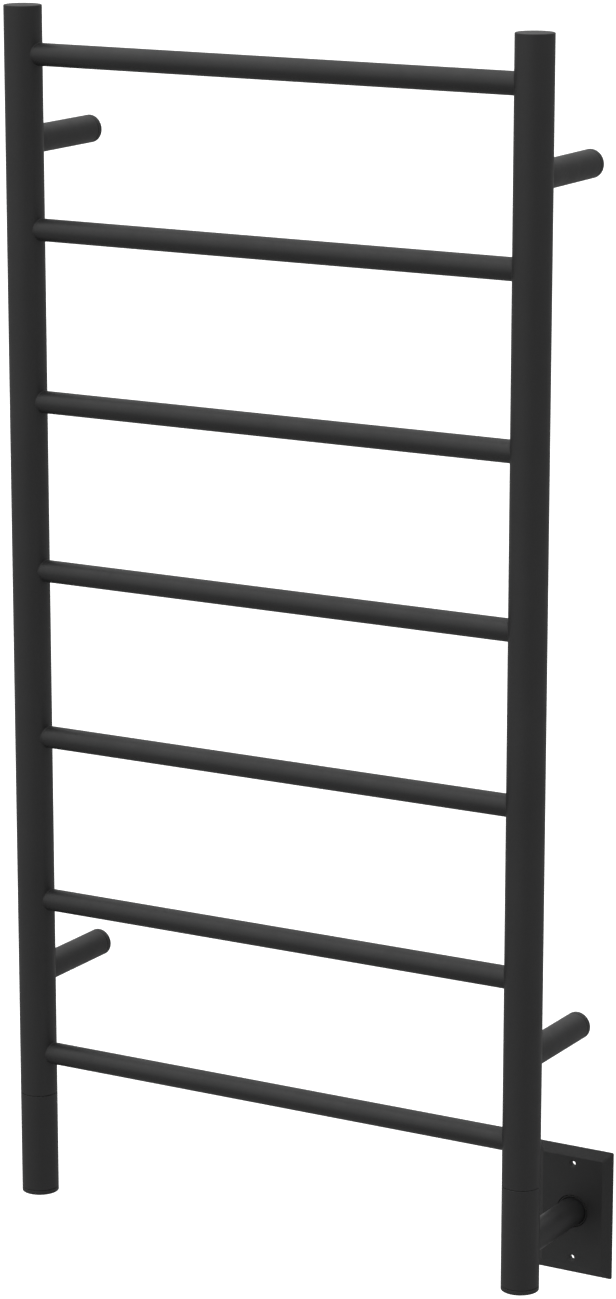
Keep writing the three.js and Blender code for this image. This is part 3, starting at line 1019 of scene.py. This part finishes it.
def cable_points():
    """Straight runs joined by round bends."""
    corners = cable_corners()
    points = [corners[0]]
    for before, corner, after in zip(corners, corners[1:], corners[2:]):
        arriving = (corner - before).normalized() * CABLE_BEND
        leaving = (after - corner).normalized() * CABLE_BEND
        centre = corner - arriving + leaving
        for step in range(CABLE_BEND_STEPS + 1):
            angle = math.pi / 2 * step / CABLE_BEND_STEPS
            points.append(centre - leaving * math.cos(angle) + arriving * math.sin(angle))
    points.append(corners[-1])
    return points


def make_heating_cable():
    """The cable lies in one upright plane, so its rings turn about that plane's normal."""
    points = cable_points()
    rings = [[points[0]]]
    for i, point in enumerate(points):
        ahead = points[min(i + 1, len(points) - 1)]
        behind = points[max(i - 1, 0)]
        side = (ahead - behind).normalized().cross(TO_WALL)
        rings.append([point + side * u + TO_WALL * v for u, v in circle(CABLE_RADIUS, CABLE_SIDES)])
    rings.append([points[-1]])
    finish_piece(skin("heating_cable_run", rings), "heating_cable", "cable_silicone")


def make_inner_part(name, node, corners, direction, slot):
    """A small part turned about its own axis."""
    finish_piece(turned(name, corners, end_place(node, direction), FINE_SEGMENTS), node, slot)


def make_end_seal():
    node = "cable_end_seal"
    size = extent(node)
    radius = size.x / 2
    corners = [(radius * across, size.z * along, edge) for across, along, edge in END_SEAL_PROFILE]
    make_inner_part("cable_end_boot", node, corners, UP, "black_polymer")


def make_connector():
    """A ceramic connector with two grooves round it."""
    node = "cable_connector"
    size = extent(node)
    radius = size.x / 2
    floor = radius - CONNECTOR_GROOVE
    flank = CONNECTOR_GROOVE_FLANK
    edge = CONNECTOR_GROOVE_EDGE
    corners = [(0, 0, 0), (radius, 0, CONNECTOR_EDGE)]
    for share in GROOVE_STARTS:
        start = size.z * share
        stop = start + CONNECTOR_GROOVE_WIDTH
        corners += [
            (radius, start, edge),
            (floor, start + flank, edge),
            (floor, stop - flank, edge),
            (radius, stop, edge),
        ]
    corners += [(radius, size.z, CONNECTOR_EDGE), (0, size.z, 0)]
    make_inner_part("cable_connector_body", node, corners, UP, "ceramic")


def make_cutoff():
    """A thermal cutoff: a ceramic barrel with stepped ends."""
    node = "thermal_cutoff"
    size = extent(node)
    radius = size.x / 2
    neck = radius * CUTOFF_NECK
    shoulder = CUTOFF_NECK_LENGTH
    corners = [
        (0, 0, 0),
        (neck, 0, CUTOFF_NECK_EDGE),
        (neck, shoulder, 0),
        (radius, shoulder, CUTOFF_EDGE),
        (radius, size.z - shoulder, CUTOFF_EDGE),
        (neck, size.z - shoulder, 0),
        (neck, size.z, CUTOFF_NECK_EDGE),
        (0, size.z, 0),
    ]
    make_inner_part("thermal_cutoff_body", node, corners, UP, "ceramic")


def make_earth_stud():
    """A stud with a plain root, a thread and a chamfered end."""
    node = "earth_stud"
    low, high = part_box(node)
    radius = extent(node).z / 2
    core = radius - STUD_THREAD_DEPTH
    length = high.x - low.x
    corners = [(0, 0, 0), (radius, 0, STUD_ROOT_EDGE), (radius, STUD_PLAIN, STUD_PLAIN_EDGE)]
    height = STUD_THREAD_START
    while height + STUD_PITCH < length - STUD_THREAD_MARGIN:
        corners += [(core, height, 0), (radius, height + STUD_PITCH / 2, 0)]
        height += STUD_PITCH
    corners += [(core, length - STUD_CHAMFER, 0), (core - STUD_CHAMFER, length, 0), (0, length, 0)]
    make_inner_part("earth_stud_thread", node, corners, TO_RIGHT, "earth_brass")


def make_earth_nut():
    """A hexagon nut with chamfered corners."""
    node = "earth_nut"
    low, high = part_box(node)
    place = end_place(node, TO_RIGHT)
    thickness = high.x - low.x
    flats = min(extent(node).y, extent(node).z)
    face = flats / 2 - NUT_FACE_INSET
    bore = extent("earth_stud").z / 2 + PUSH_FIT
    chamfer = NUT_CHAMFER
    segments = FINE_SEGMENTS
    rings = [
        flat_ring(bore, chamfer, place, segments),
        flat_ring(bore + chamfer, 0, place, segments),
        flat_ring(face, 0, place, segments),
        hex_ring(flats, chamfer, place, segments),
        hex_ring(flats, thickness - chamfer, place, segments),
        flat_ring(face, thickness, place, segments),
        flat_ring(bore + chamfer, thickness, place, segments),
        flat_ring(bore, thickness - chamfer, place, segments),
    ]
    finish_piece(skin("earth_nut_body", rings), node, "earth_brass")


# ---- Everything ----

add_camera()
add_floor()
add_backdrop()
add_world()

for side in ("left", "right"):
    make_post(side)
    make_lower_sleeve(side)
    make_coupler(side)
    make_caps(side)

for rail in RAILS:
    make_rail(rail)

for corner in ("upper_left", "lower_left", "upper_right", "lower_right"):
    make_standoff(corner)
    make_wall_anchor(corner)
    make_set_screw(corner)

make_arm()
make_arm_bushing()
make_plate_ring()
make_plate()

make_heating_cable()
make_end_seal()
make_connector()
make_cutoff()
make_earth_stud()
make_earth_nut()

bpy.context.scene.view_settings.view_transform = "Standard"
